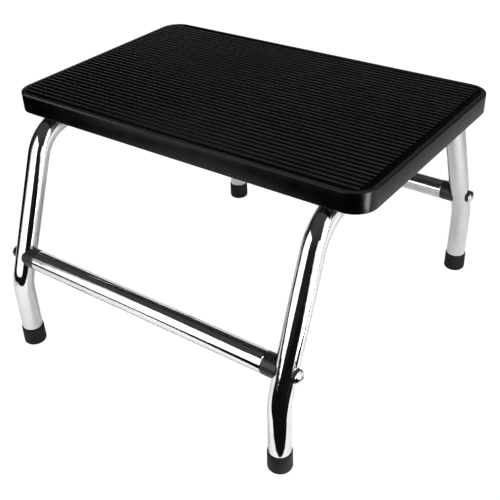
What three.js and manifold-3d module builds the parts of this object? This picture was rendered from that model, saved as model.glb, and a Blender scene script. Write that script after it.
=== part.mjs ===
// Step stool: a ribbed rubber-covered deck on two bent steel leg frames joined by two crossbars.
// Millimetres. +Z up, X along the deck's long side, Y along its short side, -Y is the front.
// The origin is on the floor under the middle of the deck.

import * as THREE from 'three';
import { mergeVertices } from 'three/addons/utils/BufferGeometryUtils.js';
import Module from 'manifold-3d';

const wasm = await Module();
wasm.setup();

// ---- driving dimensions -------------------------------------------------------------------------

const FIT_GAP = 0.3;            // clearance left between pieces that touch

// steel tube, used for the leg frames and the crossbars
const TUBE_R = 11.1;
const TUBE_WALL = 1.2;
const TUBE_INNER_R = TUBE_R - TUBE_WALL;
const TUBE_SIDES = 20;

// deck
const DECK_LENGTH = 415;
const DECK_WIDTH = 262;
const DECK_TOP = 268;
const DECK_CORNER_R = 22.5;
const SKIRT_HEIGHT = 20;
const SKIRT_WALL = 3;
const SKIRT_EDGE_R = 1.2;
const LIP_WIDTH = 8;
const LIP_THICKNESS = 1.6;
const BOARD_THICKNESS = 12.7;

// tread pattern
const RIB_COUNT = 37;
const RIB_PITCH = 6.63;
const RIB_HEIGHT = 1.2;
const RIB_TOP_WIDTH = 2.8;
const RIB_FOOT_WIDTH = 4.2;
const RIB_LEFT_MARGIN = 3.8;      // the ribs run into the rim here
const RIB_RIGHT_MARGIN = 10;      // and stop short of it here
const RIM_WIDTH = 4.4;

// leg frames
const FRAME_X = 167.2;
const FOOT_Y = 196.2;
const KNEE_Z = 81;
const LEG_LEAN = THREE.MathUtils.degToRad(22);
const KNEE_BEND_R = 57;
const TOP_BEND_R = 44.4;
const TOP_RUN_Z = 238.5;

// foot tips
const TIP_HEIGHT = 21.5;
const TIP_TOP_R = 12.05;
const TIP_BOTTOM_R = 12.25;
const TIP_EDGE_R = 3;
const TIP_FLOOR = 5;
const TIP_WASHER_THICKNESS = 1.2;

// crossbars and what joins them to the legs
const BAR_Z = 109;
const BAR_END_SETBACK = 21;
const CAP_LOBE_REACH = 4.5;
const PLUG_LENGTH = 16;
const INSERT_R = 6;
const INSERT_LENGTH = 10;
const BOLT_R = 2.9;
const BOLT_HOLE_R = 3.3;
const BOLT_HEAD_R = 6.8;
const BOLT_HEAD_HEIGHT = 4;
const BOLT_WASHER_R = 6.9;
const BOLT_WASHER_RISE = 1.5;

// deck screws
const SCREW_Y = 75;
const SCREW_R = 2.2;
const SCREW_HOLE_R = 2.6;
const SCREW_HEAD_R = 4.2;
const SCREW_HEAD_HEIGHT = 2.6;
const SCREW_BITE = 9;

// ---- worked-out dimensions ----------------------------------------------------------------------

const SKIRT_BOTTOM = DECK_TOP - SKIRT_HEIGHT;
const TREAD_FLOOR = DECK_TOP - RIB_HEIGHT;
const BOARD_BOTTOM = SKIRT_BOTTOM + LIP_THICKNESS + FIT_GAP;
const BOARD_TOP = BOARD_BOTTOM + BOARD_THICKNESS;
const LEG_END_Z = TIP_FLOOR + TIP_WASHER_THICKNESS + 2 * FIT_GAP;
const BAR_Y = FOOT_Y - Math.tan(LEG_LEAN) * (BAR_Z - KNEE_Z);
const BAR_END_X = FRAME_X - BAR_END_SETBACK;

const CORNERS = [
  { name: 'front_left', x: -1, y: -1 },
  { name: 'front_right', x: 1, y: -1 },
  { name: 'rear_left', x: -1, y: 1 },
  { name: 'rear_right', x: 1, y: 1 },
];

// ---- materials ----------------------------------------------------------------------------------

function chromeMaterial() {
  return new THREE.MeshStandardMaterial({ color: 0xc9cccf, metalness: 1, roughness: 0.12 });
}

function coverRubberMaterial() {
  return new THREE.MeshStandardMaterial({ color: 0x1a1a1b, metalness: 0, roughness: 0.55 });
}

function tipRubberMaterial() {
  return new THREE.MeshStandardMaterial({ color: 0x232325, metalness: 0, roughness: 0.7 });
}

function blackPlasticMaterial() {
  return new THREE.MeshStandardMaterial({ color: 0x161617, metalness: 0, roughness: 0.45 });
}

function plywoodMaterial() {
  return new THREE.MeshStandardMaterial({ color: 0x1d1a18, metalness: 0, roughness: 0.7 });
}

function zincSteelMaterial() {
  return new THREE.MeshStandardMaterial({ color: 0xa9abad, metalness: 1, roughness: 0.35 });
}

// ---- solid helpers ------------------------------------------------------------------------------

function toSolid(geometry) {
  const bare = geometry.clone();
  bare.deleteAttribute('normal');
  bare.deleteAttribute('uv');
  const welded = mergeVertices(bare, 1e-4);
  const mesh = new wasm.Mesh({
    numProp: 3,
    vertProperties: new Float32Array(welded.attributes.position.array),
    triVerts: new Uint32Array(welded.index.array),
  });
  return new wasm.Manifold(mesh);
}

function toMesh(name, solid, material) {
  const data = solid.getMesh();
  const geometry = new THREE.BufferGeometry();
  geometry.setAttribute('position', new THREE.BufferAttribute(new Float32Array(data.vertProperties), 3));
  geometry.setIndex(new THREE.BufferAttribute(new Uint32Array(data.triVerts), 1));
  geometry.computeVertexNormals();
  const mesh = new THREE.Mesh(geometry, material);
  mesh.name = name;
  return mesh;
}

function roundedRectangle(length, width, radius) {
  const x = length / 2;
  const y = width / 2;
  const shape = new THREE.Shape();
  shape.moveTo(-x + radius, -y);
  shape.lineTo(x - radius, -y);
  shape.absarc(x - radius, -y + radius, radius, -Math.PI / 2, 0, false);
  shape.lineTo(x, y - radius);
  shape.absarc(x - radius, y - radius, radius, 0, Math.PI / 2, false);
  shape.lineTo(-x + radius, y);
  shape.absarc(-x + radius, y - radius, radius, Math.PI / 2, Math.PI, false);
  shape.lineTo(-x, -y + radius);
  shape.absarc(-x + radius, -y + radius, radius, Math.PI, 1.5 * Math.PI, false);
  return shape;
}

// a plate with rounded corners, centred on the Z axis
function plate(length, width, radius, bottom, top) {
  const shape = roundedRectangle(length, width, radius);
  const geometry = new THREE.ExtrudeGeometry(shape, {
    depth: top - bottom,
    bevelEnabled: false,
    curveSegments: 5,
  });
  geometry.translate(0, 0, bottom);
  return toSolid(geometry);
}

// a solid of revolution about Z, from [radius, height] pairs that start and end on the axis
function turned(profile, sides = TUBE_SIDES) {
  const points = profile.map(([r, z]) => new THREE.Vector2(r, z));
  const geometry = new THREE.LatheGeometry(points, sides);
  geometry.rotateX(Math.PI / 2);
  return toSolid(geometry);
}

// a plain round rod about Z
function rod(radius, bottom, top, sides = TUBE_SIDES) {
  return turned([[0, bottom], [radius, bottom], [radius, top], [0, top]], sides);
}

// the same rod laid along X
function rodAlongX(radius, start, end, sides = TUBE_SIDES) {
  return rod(radius, start, end, sides).rotate([0, 90, 0]);
}

function arcPoints(centreR, centreZ, radius, from, to, steps) {
  const points = [];
  for (let i = 0; i <= steps; i += 1) {
    const angle = THREE.MathUtils.degToRad(from + ((to - from) * i) / steps);
    points.push([centreR + radius * Math.cos(angle), centreZ + radius * Math.sin(angle)]);
  }
  return points;
}

// ---- leg frame path -----------------------------------------------------------------------------

// A plane curve made of straight runs joined by arcs. Its stations fall at the ends of every run
// and along every arc, so the straights stay single spans.
class BentTubePath extends THREE.Curve {
  constructor(corners, bendRadii, stepsPerBend) {
    super();
    this.stations = [corners[0].clone()];
    for (let i = 1; i < corners.length - 1; i += 1) {
      this.addBend(corners[i - 1], corners[i], corners[i + 1], bendRadii[i - 1], stepsPerBend[i - 1]);
    }
    this.stations.push(corners[corners.length - 1].clone());
  }

  addBend(before, corner, after, radius, steps) {
    const incoming = corner.clone().sub(before).normalize();
    const outgoing = after.clone().sub(corner).normalize();
    const turn = incoming.angleTo(outgoing);
    const reach = radius * Math.tan(turn / 2);
    const start = corner.clone().addScaledVector(incoming, -reach);
    const side = outgoing.clone().addScaledVector(incoming, -Math.cos(turn)).normalize();
    for (let i = 0; i <= steps; i += 1) {
      const angle = (turn * i) / steps;
      const point = start.clone();
      point.addScaledVector(incoming, radius * Math.sin(angle));
      point.addScaledVector(side, radius * (1 - Math.cos(angle)));
      this.stations.push(point);
    }
  }

  get steps() {
    return this.stations.length - 1;
  }

  getUtoTmapping(u) {
    return u;
  }

  getPoint(t) {
    const place = THREE.MathUtils.clamp(t, 0, 1) * this.steps;
    const index = Math.min(Math.floor(place), this.steps - 1);
    return this.stations[index].clone().lerp(this.stations[index + 1], place - index);
  }

  // the direction at a station bisects the spans on either side of it
  getTangent(t) {
    const index = Math.round(t * this.steps);
    const here = this.stations[index];
    const back = this.stations[Math.max(index - 1, 0)];
    const next = this.stations[Math.min(index + 1, this.steps)];
    const incoming = here.clone().sub(back).normalize();
    const outgoing = next.clone().sub(here).normalize();
    return incoming.add(outgoing).normalize();
  }
}

function legFramePath() {
  const topCornerY = FOOT_Y - Math.tan(LEG_LEAN) * (TOP_RUN_Z - KNEE_Z);
  const corners = [
    new THREE.Vector3(0, -FOOT_Y, LEG_END_Z),
    new THREE.Vector3(0, -FOOT_Y, KNEE_Z),
    new THREE.Vector3(0, -topCornerY, TOP_RUN_Z),
    new THREE.Vector3(0, topCornerY, TOP_RUN_Z),
    new THREE.Vector3(0, FOOT_Y, KNEE_Z),
    new THREE.Vector3(0, FOOT_Y, LEG_END_Z),
  ];
  const radii = [KNEE_BEND_R, TOP_BEND_R, TOP_BEND_R, KNEE_BEND_R];
  return new BentTubePath(corners, radii, [3, 6, 6, 3]);
}

// ---- deck ---------------------------------------------------------------------------------------

function treadRib() {
  const profile = new THREE.Shape();
  const root = -0.4;
  profile.moveTo(-RIB_FOOT_WIDTH / 2, root);
  profile.lineTo(RIB_FOOT_WIDTH / 2, root);
  profile.lineTo(RIB_FOOT_WIDTH / 2, 0);
  profile.lineTo(RIB_TOP_WIDTH / 2, RIB_HEIGHT);
  profile.lineTo(-RIB_TOP_WIDTH / 2, RIB_HEIGHT);
  profile.lineTo(-RIB_FOOT_WIDTH / 2, 0);
  const start = RIB_LEFT_MARGIN - DECK_LENGTH / 2;
  const end = DECK_LENGTH / 2 - RIB_RIGHT_MARGIN;
  const geometry = new THREE.ExtrudeGeometry(profile, { depth: end - start, bevelEnabled: false });
  geometry.rotateX(Math.PI / 2);
  geometry.rotateZ(Math.PI / 2);
  geometry.translate(start, 0, TREAD_FLOOR);
  return toSolid(geometry);
}

// the sunk field inside the rim, which the ribs stand in
function treadField() {
  const inset = 2 * RIM_WIDTH;
  return plate(DECK_LENGTH - inset, DECK_WIDTH - inset, DECK_CORNER_R - RIM_WIDTH, TREAD_FLOOR, DECK_TOP + 1);
}

// the outside of the cover, with its top edge rounded over
function coverBlock() {
  const inset = 2 * SKIRT_EDGE_R;
  const shape = roundedRectangle(DECK_LENGTH - inset, DECK_WIDTH - inset, DECK_CORNER_R - SKIRT_EDGE_R);
  const geometry = new THREE.ExtrudeGeometry(shape, {
    depth: DECK_TOP - SKIRT_BOTTOM,
    bevelEnabled: true,
    bevelThickness: SKIRT_EDGE_R,
    bevelSize: SKIRT_EDGE_R,
    bevelSegments: 3,
    curveSegments: 5,
  });
  geometry.translate(0, 0, SKIRT_BOTTOM - SKIRT_EDGE_R);
  const lump = toSolid(geometry);
  return lump.subtract(plate(DECK_LENGTH + 10, DECK_WIDTH + 10, 5, SKIRT_BOTTOM - 10, SKIRT_BOTTOM));
}

function treadCover() {
  const wall = 2 * SKIRT_WALL;
  const lip = wall + 2 * LIP_WIDTH;
  const pocketR = DECK_CORNER_R - SKIRT_WALL;
  const pocketBottom = SKIRT_BOTTOM + LIP_THICKNESS;
  const pocket = plate(DECK_LENGTH - wall, DECK_WIDTH - wall, pocketR, pocketBottom, BOARD_TOP + FIT_GAP);
  const mouth = plate(DECK_LENGTH - lip, DECK_WIDTH - lip, pocketR - LIP_WIDTH, SKIRT_BOTTOM - 1, BOARD_BOTTOM);
  let cover = coverBlock().subtract(pocket).subtract(mouth).subtract(treadField());
  const rib = treadRib();
  for (let i = 0; i < RIB_COUNT; i += 1) {
    const y = (i - (RIB_COUNT - 1) / 2) * RIB_PITCH;
    cover = cover.add(rib.translate([0, y, 0]));
  }
  return toMesh('tread_cover', cover, coverRubberMaterial());
}

function deckBoard() {
  const inset = 2 * (SKIRT_WALL + FIT_GAP);
  const radius = DECK_CORNER_R - SKIRT_WALL - FIT_GAP;
  let board = plate(DECK_LENGTH - inset, DECK_WIDTH - inset, radius, BOARD_BOTTOM, BOARD_TOP);
  for (const corner of CORNERS) {
    const pilot = rod(SCREW_HOLE_R, BOARD_BOTTOM - 1, BOARD_BOTTOM + SCREW_BITE + FIT_GAP, 12);
    board = board.subtract(pilot.translate([corner.x * FRAME_X, corner.y * SCREW_Y, 0]));
  }
  return toMesh('deck_board', board, plywoodMaterial());
}

// ---- leg frames and crossbars -------------------------------------------------------------------

function tubeSection() {
  const section = new THREE.Shape();
  section.absarc(0, 0, TUBE_R, 0, 2 * Math.PI, false);
  const bore = new THREE.Path();
  bore.absarc(0, 0, TUBE_INNER_R, 0, 2 * Math.PI, true);
  section.holes.push(bore);
  return section;
}

function legFrame(name, side) {
  const path = legFramePath();
  const geometry = new THREE.ExtrudeGeometry(tubeSection(), {
    steps: path.steps,
    extrudePath: path,
    curveSegments: TUBE_SIDES / 2,
  });
  let frame = toSolid(geometry);
  for (const end of [-1, 1]) {
    const boltHole = rodAlongX(BOLT_HOLE_R, -2 * TUBE_R, 2 * TUBE_R, 12);
    const screwHole = rod(SCREW_HOLE_R, TOP_RUN_Z - 2 * TUBE_R, TOP_RUN_Z + 2 * TUBE_R, 12);
    frame = frame.subtract(boltHole.translate([0, end * BAR_Y, BAR_Z]));
    frame = frame.subtract(screwHole.translate([0, end * SCREW_Y, 0]));
  }
  return toMesh(name, frame.translate([side * FRAME_X, 0, 0]), chromeMaterial());
}

function crossbar(name, side) {
  const length = 2 * BAR_END_X;
  const geometry = new THREE.ExtrudeGeometry(tubeSection(), {
    depth: length,
    bevelEnabled: false,
    curveSegments: TUBE_SIDES / 2,
  });
  geometry.translate(0, 0, -length / 2);
  geometry.rotateY(Math.PI / 2);
  const bar = toSolid(geometry).translate([0, side * BAR_Y, BAR_Z]);
  return toMesh(name, bar, chromeMaterial());
}

// ---- joint pieces, each built for the right-hand side about the bar's own axis --------------------

// moves a piece built about the X axis, with the leg's axis at x = 0, onto one corner of the stool
function placeAtJoint(solid, corner) {
  const turnedRound = corner.x > 0 ? solid : solid.mirror([1, 0, 0]);
  return turnedRound.translate([corner.x * FRAME_X, corner.y * BAR_Y, BAR_Z]);
}

// the space the sloping leg tube takes where it passes the end of a crossbar
function legSpace(corner) {
  const lean = THREE.MathUtils.radToDeg(LEG_LEAN) * corner.y;
  return rod(TUBE_R + FIT_GAP, -40, 40).rotate([lean, 0, 0]);
}

function saddleCap(corner) {
  const shoulder = -BAR_END_SETBACK + FIT_GAP;
  const plugEnd = shoulder - PLUG_LENGTH;
  const collar = rodAlongX(TUBE_R, shoulder, -CAP_LOBE_REACH);
  const plug = rodAlongX(TUBE_INNER_R - FIT_GAP, plugEnd, shoulder + 1);
  const pocket = rodAlongX(INSERT_R + FIT_GAP, plugEnd - 1, plugEnd + INSERT_LENGTH + FIT_GAP);
  const boltWay = rodAlongX(BOLT_HOLE_R, plugEnd - 1, 0, 12);
  const cap = collar.add(plug).subtract(pocket).subtract(boltWay).subtract(legSpace(corner));
  return toMesh(`${corner.name}_saddle_cap`, placeAtJoint(cap, corner), blackPlasticMaterial());
}

function threadedInsert(corner) {
  const start = -BAR_END_SETBACK + FIT_GAP - PLUG_LENGTH;
  const barrel = rodAlongX(INSERT_R, start, start + INSERT_LENGTH);
  const thread = rodAlongX(BOLT_R + FIT_GAP / 2, start - 1, start + INSERT_LENGTH + 1, 12);
  const insert = barrel.subtract(thread);
  return toMesh(`${corner.name}_threaded_insert`, placeAtJoint(insert, corner), zincSteelMaterial());
}

function boltWasher(corner) {
  const top = TUBE_R + BOLT_WASHER_RISE;
  const disc = rodAlongX(BOLT_WASHER_R, TUBE_R * 0.6, top);
  const hole = rodAlongX(BOLT_HOLE_R, 0, top + 1, 12);
  const washer = disc.subtract(hole).subtract(legSpace(corner));
  return toMesh(`${corner.name}_bolt_washer`, placeAtJoint(washer, corner), blackPlasticMaterial());
}

function crossbarBolt(corner) {
  const seat = TUBE_R + BOLT_WASHER_RISE + FIT_GAP;
  const tip = -BAR_END_SETBACK + FIT_GAP - PLUG_LENGTH - 1;
  const rim = 1;
  const domeR = (BOLT_HEAD_R ** 2 + (BOLT_HEAD_HEIGHT - rim) ** 2) / (2 * (BOLT_HEAD_HEIGHT - rim));
  const half = THREE.MathUtils.radToDeg(Math.asin(BOLT_HEAD_R / domeR));
  const dome = arcPoints(0, seat + BOLT_HEAD_HEIGHT - domeR, domeR, 90 - half, 90, 4);
  const head = [[0, seat], [BOLT_HEAD_R, seat], ...dome.slice(0, -1), [0, seat + BOLT_HEAD_HEIGHT]];
  const solid = turned(head).rotate([0, 90, 0]).add(rodAlongX(BOLT_R, tip, seat + 1, 12));
  const slot = new THREE.BoxGeometry(4, 6, 1.4).translate(seat + BOLT_HEAD_HEIGHT, 0, 0);
  const cross = toSolid(slot).add(toSolid(slot).rotate([90, 0, 0]));
  const bolt = solid.subtract(cross);
  return toMesh(`${corner.name}_crossbar_bolt`, placeAtJoint(bolt, corner), chromeMaterial());
}

// ---- feet ---------------------------------------------------------------------------------------

function footTip(corner) {
  const boreR = TUBE_R + FIT_GAP;
  const edge = arcPoints(TIP_BOTTOM_R - TIP_EDGE_R, TIP_EDGE_R, TIP_EDGE_R, -90, 0, 4);
  const profile = [[0, 0], ...edge, [TIP_TOP_R, TIP_HEIGHT], [boreR, TIP_HEIGHT], [boreR, TIP_FLOOR], [0, TIP_FLOOR]];
  const tip = turned(profile).translate([corner.x * FRAME_X, corner.y * FOOT_Y, 0]);
  return toMesh(`${corner.name}_foot_tip`, tip, tipRubberMaterial());
}

function tipWasher(corner) {
  const bottom = TIP_FLOOR + FIT_GAP;
  const disc = rod(TUBE_R - FIT_GAP, bottom, bottom + TIP_WASHER_THICKNESS);
  const washer = disc.subtract(rod(3, bottom - 1, bottom + TIP_WASHER_THICKNESS + 1, 12));
  const placed = washer.translate([corner.x * FRAME_X, corner.y * FOOT_Y, 0]);
  return toMesh(`${corner.name}_tip_washer`, placed, zincSteelMaterial());
}

// ---- deck screws --------------------------------------------------------------------------------

function deckScrew(corner) {
  const seat = TOP_RUN_Z - TUBE_R - FIT_GAP;
  const point = BOARD_BOTTOM + SCREW_BITE;
  const head = arcPoints(0, seat, SCREW_HEAD_R, -90, 0, 4).map(([r, z]) => {
    return [r, seat + (z - seat) * (SCREW_HEAD_HEIGHT / SCREW_HEAD_R)];
  });
  head[0][0] = 0;
  const profile = [...head, [SCREW_R, seat], [SCREW_R, point - 3], [0, point]];
  const screw = turned(profile, 16).translate([corner.x * FRAME_X, corner.y * SCREW_Y, 0]);
  return toMesh(`${corner.name}_deck_screw`, screw, zincSteelMaterial());
}

// ---- the stool ----------------------------------------------------------------------------------

function stepStool() {
  const stool = new THREE.Group();
  stool.name = 'step_stool';
  stool.add(treadCover(), deckBoard());
  stool.add(legFrame('left_leg_frame', -1), legFrame('right_leg_frame', 1));
  stool.add(crossbar('front_crossbar', -1), crossbar('rear_crossbar', 1));
  for (const corner of CORNERS) {
    stool.add(saddleCap(corner), threadedInsert(corner), boltWasher(corner), crossbarBolt(corner));
    stool.add(footTip(corner), tipWasher(corner), deckScrew(corner));
  }
  return stool;
}

export default stepStool();
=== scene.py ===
"""Looks of the step stool: smooth rubber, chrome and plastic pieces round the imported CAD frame.

Lengths are in millimetres until a mesh is made, where MM turns them into the scene's metres.
+Z is up, X runs along the deck's long side and -Y is the front.
"""

import math

import bpy
import numpy as np
from mathutils import Matrix, Vector


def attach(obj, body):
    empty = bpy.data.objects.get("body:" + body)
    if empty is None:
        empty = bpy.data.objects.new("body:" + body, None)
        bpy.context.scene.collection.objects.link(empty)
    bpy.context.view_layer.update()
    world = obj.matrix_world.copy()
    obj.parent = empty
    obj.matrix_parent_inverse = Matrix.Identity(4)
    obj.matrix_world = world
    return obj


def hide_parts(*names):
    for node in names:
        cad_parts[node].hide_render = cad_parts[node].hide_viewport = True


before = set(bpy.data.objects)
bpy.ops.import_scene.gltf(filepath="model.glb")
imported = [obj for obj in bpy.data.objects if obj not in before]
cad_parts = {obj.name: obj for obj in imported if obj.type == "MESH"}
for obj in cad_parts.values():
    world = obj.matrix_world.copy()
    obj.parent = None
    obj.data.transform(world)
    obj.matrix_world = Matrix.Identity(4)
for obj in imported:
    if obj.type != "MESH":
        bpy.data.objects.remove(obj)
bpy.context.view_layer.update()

MM = 0.001

# ---- sizes, in millimetres -----------------------------------------------------------------------

FIT_GAP = 0.3
TUBE_R = 11.1
TUBE_INNER_R = 9.9

DECK_LENGTH = 415.0
DECK_WIDTH = 262.0
DECK_TOP = 268.0
DECK_CORNER_R = 22.5
SKIRT_BOTTOM = 248.0
SKIRT_WALL = 3.0
SKIRT_EDGE_R = 1.2
LIP_WIDTH = 8.0
LIP_THICKNESS = 1.6
LIP_TOP = SKIRT_BOTTOM + LIP_THICKNESS
BOARD_BOTTOM = LIP_TOP + FIT_GAP
POCKET_TOP = 262.9

RIB_COUNT = 37
RIB_PITCH = 6.63
RIB_HEIGHT = 1.2
RIB_TOP_WIDTH = 2.8
RIB_FOOT_WIDTH = 4.2
RIB_RIGHT_MARGIN = 10.0
RIB_RAMP = 3.2
TREAD_FLOOR = DECK_TOP - RIB_HEIGHT
RIM_WIDTH = 4.4

FRAME_X = 167.2
FOOT_Y = 196.2
KNEE_Z = 81.0
LEG_LEAN = math.radians(22)
KNEE_BEND_R = 57.0
TOP_BEND_R = 44.4
TOP_RUN_Z = 238.5
LEG_END_Z = 6.8

TIP_HEIGHT = 21.5
TIP_TOP_R = 12.05
TIP_BOTTOM_R = 12.25
TIP_EDGE_R = 3.0
TIP_FLOOR = 5.0

BAR_Z = 109.0
BAR_Y = FOOT_Y - math.tan(LEG_LEAN) * (BAR_Z - KNEE_Z)
CAP_SHOULDER = 21.0
BAR_END_X = FRAME_X - CAP_SHOULDER
CAP_LOBE_REACH = 4.5
CAP_BORE_R = 6.3
CAP_BORE_DEPTH = 10.3
PLUG_LENGTH = 16.0
BOLT_R = 2.9
BOLT_HOLE_R = 3.3
BOLT_HEAD_R = 6.8
BOLT_HEAD_HEIGHT = 4.0
BOLT_WASHER_R = 6.9
BOLT_WASHER_RISE = 1.5

SCREW_Y = 75.0
SCREW_R = 2.2
SCREW_HEAD_R = 4.2
SCREW_HEAD_HEIGHT = 2.6
SCREW_BITE = 9.0

# reach, width and depth of the cross recesses
BOLT_RECESS = (6.0, 1.4, 2.0)
SCREW_RECESS = (4.0, 1.0, 1.3)
SHARP_ANGLE = math.radians(38)

CORNERS = {
    "front_left": (-1, -1),
    "front_right": (1, -1),
    "rear_left": (-1, 1),
    "rear_right": (1, 1),
}

# ---- camera --------------------------------------------------------------------------------------

CAMERA_PLACE = (462.44, -627.18, 588.21)
CAMERA_YAW = math.radians(36.70)
CAMERA_PITCH = math.radians(-33.49)
CAMERA_ROLL = math.radians(-2.08)
CAMERA_FOCAL = 812.71
IMAGE_WIDTH = 500
SENSOR = 36.0

# ---- studio, in millimetres towards the camera and to its right ----------------------------------

TOWARDS_CAMERA = math.radians(-53.6)
TABLE_CORNERS = [(296.0, -560.0), (278.0, 1100.0), (-1500.0, 1100.0), (-1500.0, -560.0)]
TABLE_Z = -0.05
TABLE_WHITE = 1.09
TABLE_SHARE = 0.93
SKY_WHITE = 1.04
WHITE = (1, 1, 1, 1)
FLOOR_GREY = 0.006
ROOM_GREY = 0.018
CEILING_GREY = 0.06
# name, near and far end, bottom, top, brightness, tilt in degrees
PANELS = [
    ("left_panel", (571, -338), (190, -519), 85, 570, 1.8, 0),
    ("left_fade", (190, -519), (130, -547), 85, 570, 1.2, 0),
    ("left_end", (130, -547), (75, -573), 85, 570, 0.4, 0),
    ("right_wing", (955, 246), (555, 393), 108, 384, 1.1, 31.3),
    ("right_front", (664, 353), (574, 386), -60, 900, 1.7, 0),
    ("right_lamp", (574, 386), (412, 445), -60, 450, 12.0, 0),
    ("right_top", (574, 386), (412, 445), 450, 900, 1.7, 0),
    ("right_back", (372, 460), (100, 560), -60, 900, 0.8, 0),
    ("backdrop", (-900, -900), (-900, 900), 0, 420, 0.7, 0),
]
OVERHEAD_GLOW = 4.6
OVERHEAD_WIDTH = 900
OVERHEAD_HEIGHT = 1400


def camera_axes():
    """The camera's right, up and backward directions in the row frame."""
    flat = math.cos(CAMERA_PITCH)
    ahead = Vector((-math.sin(CAMERA_YAW), math.cos(CAMERA_YAW), 0)) * flat
    ahead.z = math.sin(CAMERA_PITCH)
    right = ahead.cross(Vector((0, 0, 1))).normalized()
    up = right.cross(ahead)
    cos_roll, sin_roll = math.cos(CAMERA_ROLL), math.sin(CAMERA_ROLL)
    return right * cos_roll + up * sin_roll, up * cos_roll - right * sin_roll, -ahead


def make_camera():
    data = bpy.data.cameras.new("camera")
    data.sensor_width = SENSOR
    data.sensor_fit = "HORIZONTAL"
    data.lens = CAMERA_FOCAL * SENSOR / IMAGE_WIDTH
    data.clip_start = 0.01
    camera = bpy.data.objects.new("camera", data)
    bpy.context.scene.collection.objects.link(camera)
    axes = Matrix(camera_axes()).transposed().to_4x4()
    camera.matrix_world = Matrix.Translation(Vector(CAMERA_PLACE) * MM) @ axes
    bpy.context.scene.camera = camera


# ---- material helpers ----------------------------------------------------------------------------


class Nodes:
    """A small wrapper that adds and links nodes in one tree."""

    def __init__(self, tree):
        self.nodes = tree.nodes
        self.links = tree.links

    def add(self, kind, inputs=None, **settings):
        node = self.nodes.new(kind)
        for key, value in settings.items():
            setattr(node, key, value)
        for key, value in (inputs or {}).items():
            self.plug(node.inputs[key], value)
        return node

    def plug(self, socket, value):
        if isinstance(value, bpy.types.NodeSocket):
            self.links.new(value, socket)
        else:
            socket.default_value = value

    def place(self, stretch=(1, 1, 1), attribute=None):
        """Coordinates in metres, stretched; from a mesh attribute if one is named."""
        if attribute:
            source = self.add("ShaderNodeAttribute", attribute_name=attribute).outputs["Vector"]
        else:
            source = self.add("ShaderNodeTexCoord").outputs["Object"]
        return self.add("ShaderNodeMapping", {"Vector": source, "Scale": stretch}).outputs["Vector"]

    def noise(self, where, scale, detail=3.0, roughness=0.5):
        inputs = {"Vector": where, "Scale": scale, "Detail": detail, "Roughness": roughness}
        return self.add("ShaderNodeTexNoise", inputs).outputs["Fac"]

    def remap(self, value, low, high, new_low=0.0, new_high=1.0):
        inputs = {"Value": value, "From Min": low, "From Max": high}
        inputs.update({"To Min": new_low, "To Max": new_high})
        return self.add("ShaderNodeMapRange", inputs, clamp=True).outputs["Result"]

    def blend(self, factor, first, second):
        node = self.add("ShaderNodeMix", data_type="RGBA")
        self.plug(node.inputs["Factor"], factor)
        for key, colour in ((6, first), (7, second)):
            is_link = isinstance(colour, bpy.types.NodeSocket)
            self.plug(node.inputs[key], colour if is_link else (*colour, 1))
        return node.outputs[2]

    def math(self, operation, *values):
        inputs = dict(enumerate(values))
        return self.add("ShaderNodeMath", inputs, operation=operation).outputs[0]

    def bump(self, layers):
        """Stacks bumps: each layer is (height, depth in metres)."""
        normal = None
        for height, depth in layers:
            inputs = {"Height": height, "Distance": depth, "Strength": 1.0}
            if normal is not None:
                inputs["Normal"] = normal
            normal = self.add("ShaderNodeBump", inputs).outputs["Normal"]
        return normal


class Shader(Nodes):
    """One material, with its main surface node."""

    def __init__(self, name):
        self.material = bpy.data.materials.new(name)
        self.material.use_nodes = True
        super().__init__(self.material.node_tree)
        self.surface = self.nodes["Principled BSDF"]

    def set(self, **values):
        for key, value in values.items():
            self.plug(self.surface.inputs[key.replace("_", " ")], value)


# ---- materials -----------------------------------------------------------------------------------


def chrome(name, attribute=None):
    """Bright plated steel: polishing lines across the run, haze, and fine scratches along it."""
    s = Shader(name)
    even = s.place(attribute=attribute)
    across = s.place((60, 60, 1400), attribute)
    along = s.place((1500, 1500, 25), attribute)
    haze = s.noise(even, 35, 4)
    lines = s.noise(across, 1.0, 2)
    scratch = s.remap(s.noise(along, 1.0, 2), 0.62, 0.72)
    cloudy = s.math("MULTIPLY_ADD", haze, 0.05, 0.045)
    s.set(
        Base_Color=s.blend(s.remap(haze, 0.3, 0.7), (0.66, 0.665, 0.675), (0.74, 0.745, 0.75)),
        Metallic=1.0,
        Roughness=s.math("MULTIPLY_ADD", scratch, 0.10, cloudy),
        Normal=s.bump([(s.noise(even, 90, 1), 0.00015), (lines, 0.000006), (scratch, -0.000002)]),
    )
    return s.material


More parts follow.
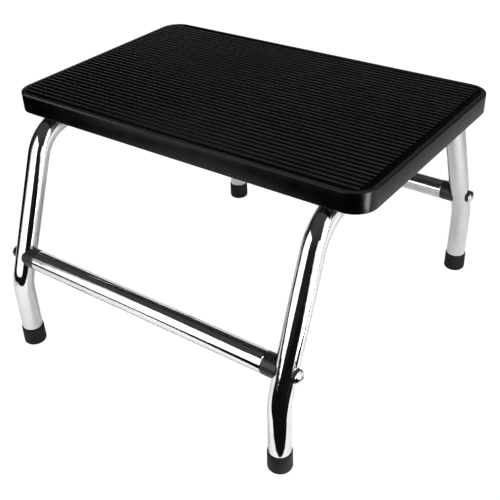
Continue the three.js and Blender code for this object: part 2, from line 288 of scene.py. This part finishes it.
def cover_rubber():
    """Moulded black rubber: fine mould grain, with painted highlights on the rib crests, at the rib
    ends and along the front-left edge.
    """
    s = Shader("cover_rubber")
    even = s.place()
    grain = s.noise(even, 2600, 3, 0.6)
    mottle = s.noise(even, 55, 2, 0.5)
    split = s.add("ShaderNodeSeparateXYZ", {"Vector": even})
    x, y, z = (split.outputs[axis] for axis in "XYZ")
    crest = s.remap(z, (DECK_TOP - 0.5) * MM, (DECK_TOP - 0.05) * MM)
    patchy = s.remap(s.noise(s.place((40, 260, 1)), 1.0, 4), 0.35, 0.7, 0.55, 1.0)
    # Painted highlight on the rib crests: lighter crests, patchy, fading toward the left end of the
    # deck.
    highlight_falloff = s.remap(x, -180 * MM, 60 * MM, 0.25, 1.0)
    # Painted highlight: the crest tops are lighter at the left ends of the ribs, next to the rim.
    rib_end_highlight = s.math("MULTIPLY", crest, s.remap(x, -199.5 * MM, -201.5 * MM))
    # Painted highlight along the outer front edge of the rim, strongest at the left end and fading
    # toward the middle.
    front, top = s.remap(y, -129.4 * MM, -130.2 * MM), s.remap(z, 266.4 * MM, 267.2 * MM)
    edge_highlight = s.remap(x, -20 * MM, -130 * MM, 0.12, 1.0)
    edge_highlight = s.math("MULTIPLY", s.math("MULTIPLY", front, top), edge_highlight)
    crest_highlight = s.math("MULTIPLY", s.math("MULTIPLY", crest, highlight_falloff), patchy)
    base = s.blend(s.remap(mottle, 0.3, 0.7), (0.0002, 0.0002, 0.0002), (0.0006, 0.0006, 0.0006))
    base = s.blend(crest_highlight, base, (0.016, 0.016, 0.0162))
    base = s.blend(rib_end_highlight, base, (0.03, 0.03, 0.0305))
    uneven = s.math("ADD", mottle, s.math("MULTIPLY", grain, 0.3))
    s.set(
        Base_Color=s.blend(edge_highlight, base, (0.06, 0.06, 0.061)),
        Roughness=s.remap(uneven, 0.35, 0.95, 0.17, 0.27),
        Normal=s.bump([(mottle, 0.0001), (grain, 0.00001)]),
    )
    s.surface.inputs["Specular IOR Level"].default_value = 0.18
    return s.material


def tip_rubber():
    """Duller grey-black rubber with a floury mould skin."""
    s = Shader("tip_rubber")
    even = s.place()
    grain = s.noise(even, 1900, 4, 0.65)
    mottle = s.noise(even, 160, 4, 0.6)
    dusty = s.remap(mottle, 0.3, 0.72)
    s.set(
        Base_Color=s.blend(dusty, (0.003, 0.003, 0.0032), (0.008, 0.008, 0.0084)),
        Roughness=s.remap(grain, 0.3, 0.7, 0.52, 0.72),
        Normal=s.bump([(mottle, 0.00015), (grain, 0.00005)]),
    )
    s.surface.inputs["Specular IOR Level"].default_value = 0.22
    return s.material


def black_plastic():
    """Satin black moulded plastic with a shallow spark-eroded texture."""
    s = Shader("black_plastic")
    even = s.place()
    grain = s.noise(even, 2200, 3, 0.6)
    mottle = s.noise(even, 90, 4)
    patches = s.remap(mottle, 0.3, 0.7)
    uneven = s.math("ADD", grain, s.math("MULTIPLY", mottle, 0.4))
    s.set(
        Base_Color=s.blend(patches, (0.006, 0.006, 0.0065), (0.012, 0.012, 0.0125)),
        Roughness=s.remap(uneven, 0.4, 1.0, 0.30, 0.46),
        Normal=s.bump([(grain, 0.00002)]),
    )
    return s.material


def plywood():
    """Black-stained board: long grain on the faces, thin plies at the edge, open pores."""
    s = Shader("plywood")
    fibres = s.noise(s.place((6, 220, 220)), 1.0, 6, 0.6)
    pores = s.remap(s.noise(s.place((60, 1600, 1600)), 1.0, 2), 0.60, 0.70)
    layers = {"Vector": s.place((0, 0, 1)), "Scale": 120.0}
    plies = s.add("ShaderNodeTexWave", layers, bands_direction="Z").outputs["Fac"]
    stain = s.remap(fibres, 0.35, 0.68)
    stain = s.blend(stain, (0.0095, 0.0088, 0.0082), (0.021, 0.0192, 0.0178))
    stain = s.blend(s.math("MULTIPLY", pores, 0.6), stain, (0.004, 0.0038, 0.0036))
    s.set(
        Base_Color=s.blend(s.math("MULTIPLY", plies, 0.3), stain, (0.028, 0.0245, 0.021)),
        Roughness=s.remap(fibres, 0.3, 0.7, 0.58, 0.78),
        Normal=s.bump([(fibres, 0.00025), (pores, -0.0001)]),
    )
    return s.material


def zinc_steel():
    """Plated steel hardware with a faint crystalline bloom."""
    s = Shader("zinc_steel")
    even = s.place()
    bloom = s.add("ShaderNodeTexVoronoi", {"Vector": even, "Scale": 900.0}).outputs["Distance"]
    haze = s.noise(even, 260, 4)
    uneven = s.math("ADD", haze, s.math("MULTIPLY", bloom, 0.4))
    s.set(
        Base_Color=s.blend(s.remap(haze, 0.3, 0.7), (0.42, 0.43, 0.45), (0.62, 0.63, 0.64)),
        Metallic=1.0,
        Roughness=s.remap(uneven, 0.3, 1.0, 0.22, 0.48),
        Normal=s.bump([(haze, 0.00003)]),
    )
    return s.material


# ---- mesh helpers --------------------------------------------------------------------------------


class Solid:
    """Collects closed shells of one piece."""

    def __init__(self):
        self.points = []
        self.faces = []
        self.flow = []

    def loft(self, rings, cap=False, loop=False, flow=None):
        """Skins equal rings. cap closes both ends, loop joins the last ring to the first."""
        base, count = len(self.points), len(rings[0])
        for i, ring in enumerate(rings):
            self.points.extend(tuple(p) for p in ring)
            if flow is not None:
                self.flow.extend(tuple(p) for p in flow[i])
        spans = len(rings) if loop else len(rings) - 1
        for i in range(spans):
            here, there = base + i * count, base + (i + 1) % len(rings) * count
            for j in range(count):
                k = (j + 1) % count
                self.faces.append((here + j, here + k, there + k, there + j))
        if cap:
            self.faces.append(tuple(base + j for j in reversed(range(count))))
            last = base + (len(rings) - 1) * count
            self.faces.append(tuple(last + j for j in range(count)))

    def turn(self, profile, sides=64):
        """A solid of revolution about Z. The (radius, height) pairs start and end on the axis."""
        rings = []
        for r, z in profile[1:-1]:
            angles = [2 * math.pi * j / sides for j in range(sides)]
            rings.append([(r * math.cos(a), r * math.sin(a), z) for a in angles])
        base = len(self.points)
        self.loft(rings)
        ends = (profile[0], 0, True), (profile[-1], len(rings) - 1, False)
        for end, ring, flip in ends:
            pole = len(self.points)
            self.points.append((0.0, 0.0, end[1]))
            for j in range(sides):
                a, b = base + ring * sides + j, base + ring * sides + (j + 1) % sides
                self.faces.append((b, a, pole) if flip else (a, b, pole))

    def move(self, matrix):
        self.points = [tuple(matrix @ Vector(p)) for p in self.points]
        if matrix.to_3x3().determinant() < 0:
            self.faces = [tuple(reversed(f)) for f in self.faces]


def make_piece(name, solid, material, node):
    """One visible piece on the root body, in place of its CAD node."""
    mesh = bpy.data.meshes.new(name)
    mesh.from_pydata([tuple(c * MM for c in p) for p in solid.points], [], solid.faces)
    if solid.flow:
        layer = mesh.attributes.new("flow", "FLOAT_VECTOR", "POINT")
        layer.data.foreach_set("vector", [c * MM for p in solid.flow for c in p])
    mesh.validate()
    for face in mesh.polygons:
        face.use_smooth = True
    mesh.set_sharp_from_angle(angle=SHARP_ANGLE)
    mesh.materials.append(material)
    piece = bpy.data.objects.new(name, mesh)
    bpy.context.scene.collection.objects.link(piece)
    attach(piece, "root")
    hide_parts(node)
    return piece


def arc(centre_r, centre_z, radius, start, end, steps):
    """(radius, height) pairs along an arc. Its start and end are in degrees."""
    points = []
    for i in range(steps + 1):
        angle = math.radians(start + (end - start) * i / steps)
        points.append((centre_r + radius * math.cos(angle), centre_z + radius * math.sin(angle)))
    return points


def axis_ring(radius, place, sides):
    """A ring about the X axis. place gives how far along the axis each of its points lies."""
    angles = [2 * math.pi * j / sides for j in range(sides)]
    return [(place(radius, a), radius * math.cos(a), radius * math.sin(a)) for a in angles]


# ---- tread cover ---------------------------------------------------------------------------------


def outline(inset, z, arc_steps=14):
    """The deck's rounded rectangle at one inset and height."""
    x, y = DECK_LENGTH / 2 - DECK_CORNER_R, DECK_WIDTH / 2 - DECK_CORNER_R
    radius = DECK_CORNER_R - inset
    points = []
    for start, cx, cy in ((-90, x, -y), (0, x, y), (90, -x, y), (180, -x, -y)):
        for i in range(arc_steps + 1):
            angle = math.radians(start + 90 * i / arc_steps)
            points.append((cx + radius * math.cos(angle), cy + radius * math.sin(angle), z))
    return points


def cover_profile():
    """(inset, height) pairs up the outside of the cover and over its rim to the tread floor."""
    lip_edge, chamfer, bottom_r, rim_r = SKIRT_WALL + LIP_WIDTH, 0.4, 0.9, 0.7
    profile = [(SKIRT_WALL, POCKET_TOP), (SKIRT_WALL, LIP_TOP), (lip_edge - chamfer, LIP_TOP)]
    profile += [(lip_edge, LIP_TOP - chamfer), (lip_edge, SKIRT_BOTTOM + chamfer)]
    profile += [(lip_edge - chamfer, SKIRT_BOTTOM)]
    for t in np.linspace(0, math.pi / 2, 6):
        inset, rise = bottom_r * (1 - math.sin(t)), bottom_r * (1 - math.cos(t))
        profile.append((inset, SKIRT_BOTTOM + rise))
    for t in np.linspace(0, math.pi / 2, 8):
        inset, drop = SKIRT_EDGE_R * (1 - math.cos(t)), SKIRT_EDGE_R * (1 - math.sin(t))
        profile.append((inset, DECK_TOP - drop))
    for t in np.linspace(0, math.pi / 2, 6):
        inset, drop = rim_r * (1 - math.sin(t)), rim_r * (1 - math.cos(t))
        profile.append((RIM_WIDTH - inset, DECK_TOP - drop))
    profile += [(RIM_WIDTH + 0.05, TREAD_FLOOR + 0.25), (RIM_WIDTH + 0.3, TREAD_FLOOR)]
    return profile


def rib_section(width_scale, height_scale):
    """(across, up) pairs over one rib, from foot to foot."""
    half_foot, half_top = RIB_FOOT_WIDTH / 2, RIB_TOP_WIDTH / 2
    right = [(half_foot, -0.4), (half_foot, 0.0), (half_foot - 0.35, 0.28)]
    right += [(half_top + 0.12, 0.86), (half_top - 0.12, 1.06), (half_top - 0.5, 1.16)]
    right += [(half_top - 0.95, RIB_HEIGHT)]
    left = [(-a, u) for a, u in reversed(right)]
    return [(a * width_scale, u * (height_scale if u > 0 else 1)) for a, u in right + left]


def tread_rib(cover, y):
    """One rib, ramped down at both ends: at the rim on the left, short of it on the right."""
    start, stop = RIM_WIDTH - DECK_LENGTH / 2, DECK_LENGTH / 2 - RIB_RIGHT_MARGIN
    ramp = []
    for t in np.linspace(0, 1, 6):
        ramp.append((start + RIB_RAMP * t, 0.06 + 0.94 * math.sin(t * math.pi / 2)))
    stations = ramp + [(start + stop - x, size) for x, size in reversed(ramp)]
    rings = []
    for x, size in stations:
        rings.append([(x, y + a, TREAD_FLOOR + u) for a, u in rib_section(0.8 + 0.2 * size, size)])
    cover.loft(rings, cap=True)


def tread_cover():
    cover = Solid()
    rings = [outline(inset, z) for inset, z in cover_profile()]
    cover.loft(rings, cap=True)
    for i in range(RIB_COUNT):
        tread_rib(cover, (i - (RIB_COUNT - 1) / 2) * RIB_PITCH)
    return cover


# ---- tubes ---------------------------------------------------------------------------------------


def bent_path(corners, radii, step=1.6):
    """Points and directions along straight runs joined by arcs, in the YZ plane."""
    corners = [Vector(corner) for corner in corners]
    runs = [(b - a).normalized() for a, b in zip(corners, corners[1:])]
    points, directions = [corners[0]], [runs[0]]
    for incoming, outgoing, corner, radius in zip(runs, runs[1:], corners[1:], radii):
        turn = incoming.angle(outgoing)
        start = corner - incoming * (radius * math.tan(turn / 2))
        side = (outgoing - incoming * math.cos(turn)).normalized()
        steps = max(6, round(radius * turn / step))
        for i in range(steps + 1):
            a = turn * i / steps
            ahead, aside = radius * math.sin(a), radius * (1 - math.cos(a))
            points.append(start + incoming * ahead + side * aside)
            directions.append(incoming * math.cos(a) + side * math.sin(a))
    return points + [corners[-1]], directions + [runs[-1]]


def hollow_tube(points, directions, across, sides=72):
    """A tube swept along a plane path; across is the unit vector square to that plane."""
    tube = Solid()
    distance = [0.0]
    for a, b in zip(points, points[1:]):
        distance.append(distance[-1] + (b - a).length)
    last = len(points) - 1
    edge = 0.25
    # each station is a path point, a radius and a shift along the path
    stations = [(0, TUBE_INNER_R + edge, 0.0), (0, TUBE_R - edge, 0.0), (0, TUBE_R, edge)]
    stations += [(i, TUBE_R, 0.0) for i in range(1, last)]
    stations += [(last, TUBE_R, -edge), (last, TUBE_R - edge, 0.0)]
    stations += [(last, TUBE_INNER_R + edge, 0.0), (last, TUBE_INNER_R, -edge)]
    stations += [(i, TUBE_INNER_R, 0.0) for i in range(last - 1, 0, -1)]
    stations += [(0, TUBE_INNER_R, edge)]
    rings, flow = [], []
    for i, radius, shift in stations:
        centre = points[i] + directions[i] * shift
        up = directions[i].cross(across)
        ring, coords = [], []
        for j in range(sides):
            a = 2 * math.pi * j / sides
            c, s = math.cos(a), math.sin(a)
            ring.append(centre + across * (radius * c) + up * (radius * s))
            coords.append((TUBE_R * c, TUBE_R * s, distance[i] + shift))
        rings.append(ring)
        flow.append(coords)
    tube.loft(rings, loop=True, flow=flow)
    return tube


def leg_tube(side):
    top_corner_y = FOOT_Y - math.tan(LEG_LEAN) * (TOP_RUN_Z - KNEE_Z)
    x = side * FRAME_X
    corners = [(x, -FOOT_Y, LEG_END_Z), (x, -FOOT_Y, KNEE_Z), (x, -top_corner_y, TOP_RUN_Z)]
    corners += [(x, top_corner_y, TOP_RUN_Z), (x, FOOT_Y, KNEE_Z), (x, FOOT_Y, LEG_END_Z)]
    points, directions = bent_path(corners, [KNEE_BEND_R, TOP_BEND_R, TOP_BEND_R, KNEE_BEND_R])
    return hollow_tube(points, directions, Vector((1, 0, 0)))


def bar_tube(side):
    ends = [Vector((s * BAR_END_X, side * BAR_Y, BAR_Z)) for s in (-1, 1)]
    points = [ends[0].lerp(ends[1], t) for t in np.linspace(0, 1, 9)]
    return hollow_tube(points, [Vector((1, 0, 0))] * len(points), Vector((0, 1, 0)))


# ---- bar ends, built for a right-hand corner with the leg at x = 0 and the bar along X -----------


def joint_place(corner):
    """Takes what was built for a right-hand corner to this corner."""
    sx, sy = CORNERS[corner]
    mirror = Matrix.Diagonal((sx, 1, 1, 1))
    return Matrix.Translation((sx * FRAME_X, sy * BAR_Y, BAR_Z)) @ mirror


def off_leg(radius, angle, lean):
    """How far a point round the bar's axis lies from the plane of the leg's axis."""
    y, z = radius * math.cos(angle), radius * math.sin(angle)
    return abs(y * math.cos(lean) + z * math.sin(lean))


def leg_face(radius, angle, lean):
    """Distance from the leg's axis, along X, to just outside it at this point."""
    reach = (TUBE_R + FIT_GAP) ** 2 - off_leg(radius, angle, lean) ** 2
    return math.sqrt(max(0.0, reach))


def saddle_cap(corner):
    """A plastic end plug whose open end is coped to the leg."""
    lean = LEG_LEAN * CORNERS[corner][1]
    shoulder = FIT_GAP - CAP_SHOULDER
    plug_end = shoulder - PLUG_LENGTH
    bore_end = plug_end + CAP_BORE_DEPTH
    plug_r = TUBE_INNER_R - FIT_GAP

    def ring(radius, place):
        return axis_ring(radius, place, 96)

    def coped(radius, a):
        return -max(CAP_LOBE_REACH, leg_face(radius, a, lean))

    def fixed(x):
        return lambda radius, a: x

    def part_way(share):
        start = shoulder + 0.5
        return lambda radius, a: start + (coped(radius, a) - 0.5 - start) * share

    rings = [ring(CAP_BORE_R, fixed(bore_end)), ring(CAP_BORE_R, fixed(plug_end))]
    rings += [ring(plug_r - 0.6, fixed(plug_end)), ring(plug_r, fixed(plug_end + 0.6))]
    rings += [ring(plug_r, fixed(shoulder)), ring(TUBE_R - 0.5, fixed(shoulder))]
    rings += [ring(TUBE_R - 0.12, fixed(shoulder + 0.14)), ring(TUBE_R, fixed(shoulder + 0.5))]
    rings += [ring(TUBE_R, part_way(share)) for share in np.linspace(0.15, 0.95, 6)]
    rings.append(ring(TUBE_R, lambda r, a: coped(r, a) - 0.45))
    rings.append(ring(TUBE_R - 0.13, lambda r, a: coped(r, a) - 0.13))
    for radius in np.linspace(TUBE_R - 0.45, BOLT_HOLE_R, 10):
        rings.append(ring(radius, coped))
    rings.append(ring(BOLT_HOLE_R, fixed(bore_end)))
    cap = Solid()
    cap.loft(rings, loop=True)
    cap.move(joint_place(corner))
    return cap


def saddle_washer(corner):
    """A black washer, flat under the bolt head and hollowed to sit on the leg."""
    lean = LEG_LEAN * CORNERS[corner][1]
    top = TUBE_R + BOLT_WASHER_RISE

    def ring(radius, place):
        return axis_ring(radius, place, 72)

    def below_top(drop):
        return lambda radius, a: top - drop

    def on_leg(radius, a):
        return leg_face(radius, a, lean)

    rings = [ring(BOLT_HOLE_R, on_leg)]
    for radius in np.linspace(BOLT_HOLE_R + 0.8, BOLT_WASHER_R - 0.2, 5):
        rings.append(ring(radius, on_leg))
    rings.append(ring(BOLT_WASHER_R, lambda r, a: on_leg(r, a) + 0.2))
    for inset, drop in ((0.0, 0.4), (0.12, 0.12), (0.4, 0.0)):
        rings.append(ring(BOLT_WASHER_R - inset, below_top(drop)))
    rings.append(ring(BOLT_HOLE_R, below_top(0.0)))
    washer = Solid()
    washer.loft(rings, loop=True)
    washer.move(joint_place(corner))
    return washer


def cut_cross(piece, centre, axis, reach, width, depth):
    """Cuts a cross recess into a screw head with a tapered cutter."""
    cutter = Solid()
    for turn in (0, 90):
        rings = []
        for level, squeeze in ((-depth, 0.55), (0.4 * depth, 1.1)):
            x, y = reach * squeeze / 2, width * (0.6 + 0.4 * squeeze) / 2
            rings.append([(x, y, level), (-x, y, level), (-x, -y, level), (x, -y, level)])
        arm = Solid()
        arm.loft(rings, cap=True)
        arm.move(Matrix.Rotation(math.radians(turn), 4, "Z"))
        base = len(cutter.points)
        cutter.points += arm.points
        cutter.faces += [tuple(base + i for i in face) for face in arm.faces]
    cutter.move(Matrix.Translation(centre) @ axis)
    mesh = bpy.data.meshes.new("cutter")
    mesh.from_pydata([tuple(c * MM for c in p) for p in cutter.points], [], cutter.faces)
    tool = bpy.data.objects.new("cutter", mesh)
    bpy.context.scene.collection.objects.link(tool)
    cut = piece.modifiers.new("cross", "BOOLEAN")
    cut.object, cut.operation, cut.solver, cut.use_self = tool, "DIFFERENCE", "EXACT", True
    solved = piece.evaluated_get(bpy.context.evaluated_depsgraph_get())
    shaped = bpy.data.meshes.new_from_object(solved)
    piece.modifiers.clear()
    piece.data = shaped
    shaped.set_sharp_from_angle(angle=SHARP_ANGLE)
    bpy.data.objects.remove(tool)


def crossbar_bolt(corner):
    """A domed bolt: its head outside the leg, its shank through the tube into the bar's insert."""
    seat = TUBE_R + BOLT_WASHER_RISE + FIT_GAP
    point = FIT_GAP - CAP_SHOULDER - PLUG_LENGTH - 1
    rim = 1.0
    rise = BOLT_HEAD_HEIGHT - rim
    dome_r = (BOLT_HEAD_R**2 + rise**2) / (2 * rise)
    half = math.degrees(math.asin(BOLT_HEAD_R / dome_r))
    profile = [(0, point), (BOLT_R - 0.6, point), (BOLT_R, point + 0.6), (BOLT_R, seat)]
    profile += [(BOLT_HEAD_R - 0.3, seat), (BOLT_HEAD_R, seat + 0.25)]
    profile += arc(0, seat + BOLT_HEAD_HEIGHT - dome_r, dome_r, 90 - half, 88, 16)
    profile.append((0, seat + BOLT_HEAD_HEIGHT))
    bolt = Solid()
    bolt.turn(profile)
    along_x = Matrix.Rotation(math.radians(90), 4, "Y")
    bolt.move(joint_place(corner) @ along_x)
    crown = joint_place(corner) @ Vector((seat + BOLT_HEAD_HEIGHT, 0, 0))
    sideways = Matrix.Rotation(math.radians(90 * CORNERS[corner][0]), 4, "Y")
    return bolt, crown, sideways


# ---- feet and screws -----------------------------------------------------------------------------


def foot_tip(corner):
    """A rubber cup over the end of the leg, with a shallow hollow under it."""
    bore_r = TUBE_R + FIT_GAP
    profile = [(0, 0.8), (6.5, 0.8), (7.0, 0.4), (7.4, 0.0)]
    profile += arc(TIP_BOTTOM_R - TIP_EDGE_R, TIP_EDGE_R, TIP_EDGE_R, -90, 0, 10)
    for inset, drop in ((-0.02, 0.5), (0.1, 0.12), (0.3, 0.0)):
        profile.append((TIP_TOP_R - inset, TIP_HEIGHT - drop))
    profile += [(bore_r + 0.1, TIP_HEIGHT), (bore_r, TIP_HEIGHT - 0.15)]
    profile += [(bore_r, TIP_FLOOR), (0, TIP_FLOOR)]
    tip = Solid()
    tip.turn(profile, 80)
    sx, sy = CORNERS[corner]
    tip.move(Matrix.Translation((sx * FRAME_X, sy * FOOT_Y, 0)))
    return tip


def deck_screw(corner):
    """A domed screw, up through the run of a leg frame into the board."""
    seat = TOP_RUN_Z - TUBE_R - FIT_GAP
    point = BOARD_BOTTOM + SCREW_BITE
    profile = [(0, seat - SCREW_HEAD_HEIGHT)]
    for r, z in arc(0, seat, SCREW_HEAD_R, -88, 0, 12):
        profile.append((r, seat + (z - seat) * SCREW_HEAD_HEIGHT / SCREW_HEAD_R))
    profile += [(SCREW_R, seat), (SCREW_R, point - 3), (0, point)]
    screw = Solid()
    screw.turn(profile, 48)
    sx, sy = CORNERS[corner]
    place = Vector((sx * FRAME_X, sy * SCREW_Y, 0))
    screw.move(Matrix.Translation(place))
    crown = place + Vector((0, 0, seat - SCREW_HEAD_HEIGHT))
    return screw, crown, Matrix.Rotation(math.radians(180), 4, "X")


# ---- studio --------------------------------------------------------------------------------------


def studio_point(towards, across, z):
    """A point given by how far it lies towards the camera and to its right, in millimetres."""
    c, s = math.cos(TOWARDS_CAMERA), math.sin(TOWARDS_CAMERA)
    return Vector((towards * c - across * s, towards * s + across * c, z)) * MM


def make_table():
    """A white table top. The camera sees it almost even, reflections see its real shading."""
    mesh = bpy.data.meshes.new("table")
    corners = [tuple(studio_point(t, a, TABLE_Z)) for t, a in TABLE_CORNERS]
    mesh.from_pydata(corners, [], [(0, 1, 2, 3)])
    table = bpy.data.objects.new("table", mesh)
    bpy.context.scene.collection.objects.link(table)
    s = Shader("table")
    s.set(Base_Color=(0.9, 0.9, 0.9, 1), Roughness=0.9)
    glow = s.add("ShaderNodeEmission", {"Color": WHITE, "Strength": TABLE_WHITE}).outputs[0]
    seen = s.add("ShaderNodeLightPath").outputs["Is Camera Ray"]
    share = s.math("MULTIPLY", seen, TABLE_SHARE)
    top = s.add("ShaderNodeMixShader", {0: share, 1: s.surface.outputs[0], 2: glow}).outputs[0]
    clear = s.add("ShaderNodeBsdfTransparent").outputs[0]
    under = s.add("ShaderNodeNewGeometry").outputs["Backfacing"]
    both = s.add("ShaderNodeMixShader", {0: under, 1: top, 2: clear}).outputs[0]
    s.plug(s.nodes["Material Output"].inputs["Surface"], both)
    mesh.materials.append(s.material)


def make_world():
    """White behind the object for the camera, a dim room for everything that reflects it."""
    world = bpy.data.worlds.new("studio")
    bpy.context.scene.world = world
    world.use_nodes = True
    n = Nodes(world.node_tree)
    n.nodes.clear()
    way = n.add("ShaderNodeTexCoord").outputs["Generated"]
    height = n.add("ShaderNodeSeparateXYZ", {0: way}).outputs["Z"]
    walls = n.remap(height, -0.04, 0.02, FLOOR_GREY, ROOM_GREY)
    ceiling = n.remap(height, 0.25, 0.75, 0.0, CEILING_GREY - ROOM_GREY)
    grey = n.math("ADD", walls, ceiling)
    room = n.add("ShaderNodeBackground", {"Color": WHITE, "Strength": grey}).outputs[0]
    sky = n.add("ShaderNodeBackground", {"Color": WHITE, "Strength": SKY_WHITE}).outputs[0]
    seen = n.add("ShaderNodeLightPath").outputs["Is Camera Ray"]
    mixed = n.add("ShaderNodeMixShader", {0: seen, 1: room, 2: sky}).outputs[0]
    n.add("ShaderNodeOutputWorld", {"Surface": mixed})


def area_light(name, width, height, glow):
    """A panel light whose brightness doesn't depend on its size. Lengths here are in metres."""
    data = bpy.data.lights.new(name, "AREA")
    data.shape = "RECTANGLE"
    data.size, data.size_y = width, height
    data.energy = glow * 4 * width * height
    lamp = bpy.data.objects.new(name, data)
    bpy.context.scene.collection.objects.link(lamp)
    return lamp


def softbox(name, near, far, low, high, glow, tilt):
    """An upright panel light between two points on the table's plane, facing the middle.

    tilt turns it in its own plane, in degrees, near end up.
    """
    a, b = studio_point(*near, 0), studio_point(*far, 0)
    lamp = area_light(name, (b - a).length, (high - low) * MM, glow)
    centre = (a + b) / 2 + Vector((0, 0, (low + high) / 2 * MM))
    facing = Vector((-(b - a).y, (b - a).x, 0)).normalized()
    if facing.dot(-centre) < 0:
        facing = -facing
    up = Vector((0, 0, 1))
    axes = Matrix((up.cross(-facing), up, -facing)).transposed().to_4x4()
    sign = 1 if (b - a).dot(up.cross(-facing)) < 0 else -1
    turn = Matrix.Rotation(math.radians(sign * tilt), 4, "Z")
    lamp.matrix_world = Matrix.Translation(centre) @ axes @ turn
    lamp.visible_camera = False


def overhead_light():
    """A square soft light straight above, that reflections don't show."""
    width = OVERHEAD_WIDTH * MM
    lamp = area_light("overhead", width, width, OVERHEAD_GLOW)
    lamp.location = (0, 0, OVERHEAD_HEIGHT * MM)
    lamp.visible_glossy = False


# ---- the scene -----------------------------------------------------------------------------------

bpy.context.scene.view_settings.view_transform = "Standard"
make_camera()
make_world()
make_table()
for panel in PANELS:
    softbox(*panel)
overhead_light()

tube_chrome = chrome("chrome_tube", "flow")
bolt_chrome = chrome("chrome_bolt")
rubber, tips, plastic = cover_rubber(), tip_rubber(), black_plastic()
wood, zinc = plywood(), zinc_steel()

make_piece("tread_cover_moulding", tread_cover(), rubber, "tread_cover")
for name, side in (("left", -1), ("right", 1)):
    tube = leg_tube(side)
    make_piece(f"{name}_leg_tube", tube, tube_chrome, f"{name}_leg_frame")
for name, side in (("front", -1), ("rear", 1)):
    tube = bar_tube(side)
    make_piece(f"{name}_bar_tube", tube, tube_chrome, f"{name}_crossbar")
for corner in CORNERS:
    cap, washer, tip = saddle_cap(corner), saddle_washer(corner), foot_tip(corner)
    make_piece(f"{corner}_cap", cap, plastic, f"{corner}_saddle_cap")
    make_piece(f"{corner}_washer", washer, plastic, f"{corner}_bolt_washer")
    make_piece(f"{corner}_tip", tip, tips, f"{corner}_foot_tip")
    bolt, crown, axis = crossbar_bolt(corner)
    node = f"{corner}_crossbar_bolt"
    piece = make_piece(f"{corner}_bolt", bolt, bolt_chrome, node)
    cut_cross(piece, crown, axis, *BOLT_RECESS)
    screw, crown, axis = deck_screw(corner)
    piece = make_piece(f"{corner}_screw", screw, zinc, f"{corner}_deck_screw")
    cut_cross(piece, crown, axis, *SCREW_RECESS)

kept = {"deck_board": (wood, "plywood")}
for corner in CORNERS:
    kept[f"{corner}_threaded_insert"] = (zinc, "zinc_steel")
    kept[f"{corner}_tip_washer"] = (zinc, "zinc_steel")
for node, (material, slot) in kept.items():
    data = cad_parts[node].data
    data.materials.clear()
    data.materials.append(material)
